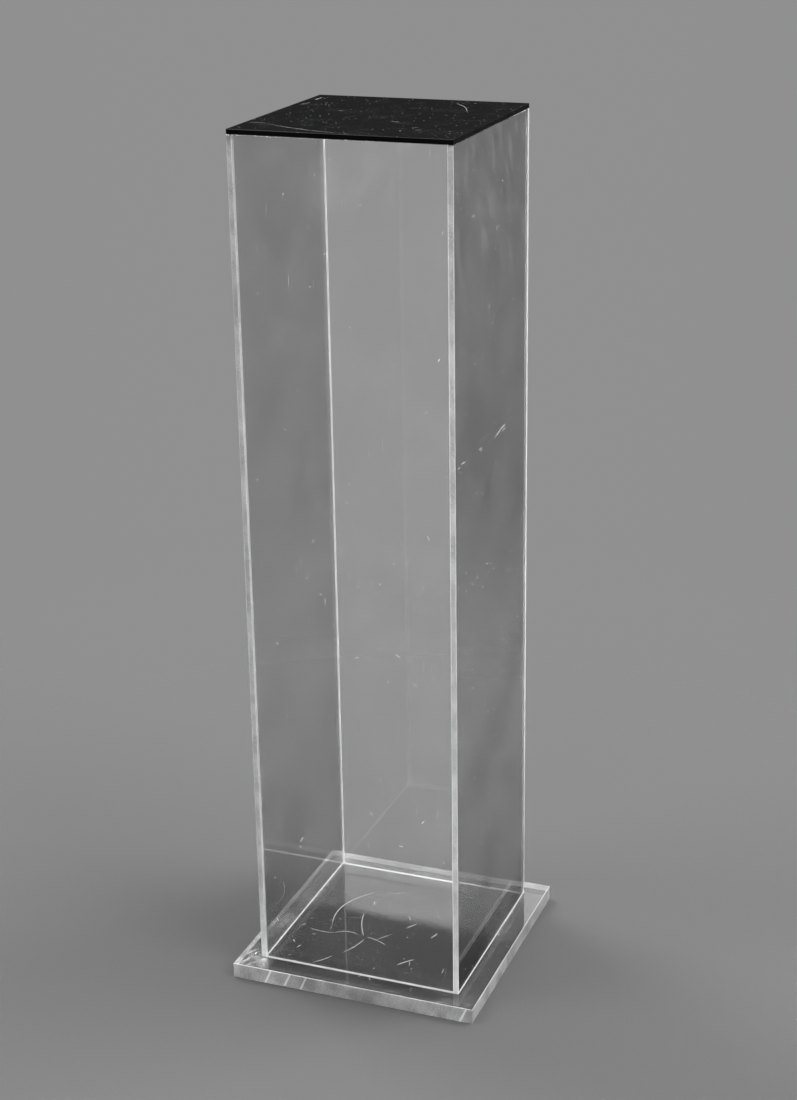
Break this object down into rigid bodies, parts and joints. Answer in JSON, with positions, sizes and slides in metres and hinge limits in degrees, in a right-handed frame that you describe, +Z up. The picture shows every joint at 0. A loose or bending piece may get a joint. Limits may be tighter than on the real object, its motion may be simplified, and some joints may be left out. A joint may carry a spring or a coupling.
{
  "type": "acrylic display case",
  "caption": "Tall square clear acrylic display cover with a black top, standing on a wider clear base plate and lifting straight off it.",
  "frame": {"origin": "centre of the base plate's underside", "axes": "+Z up; +X to the object's right as seen from the front; front face towards -Y"},
  "size_m": [0.305, 0.305, 1.0161],
  "materials": {
    "clear_base": "gloss",
    "clear_wall": "gloss",
    "black_top": "gloss",
    "cement": "satin"
  },
  "bodies": {
    "base": {"base_plate": "clear_base"},
    "cover": {"left_panel": "clear_wall", "right_panel": "clear_wall", "front_panel": "clear_wall", "back_panel": "clear_wall", "top_panel": "black_top", "corner_seams": "cement", "top_seam": "cement"}
  },
  "joints": [
    {"name": "cover_lift", "type": "slide", "parent": "base", "child": "cover", "axis": [0, 0, 1], "range_m": [0, 1]}
  ]
}
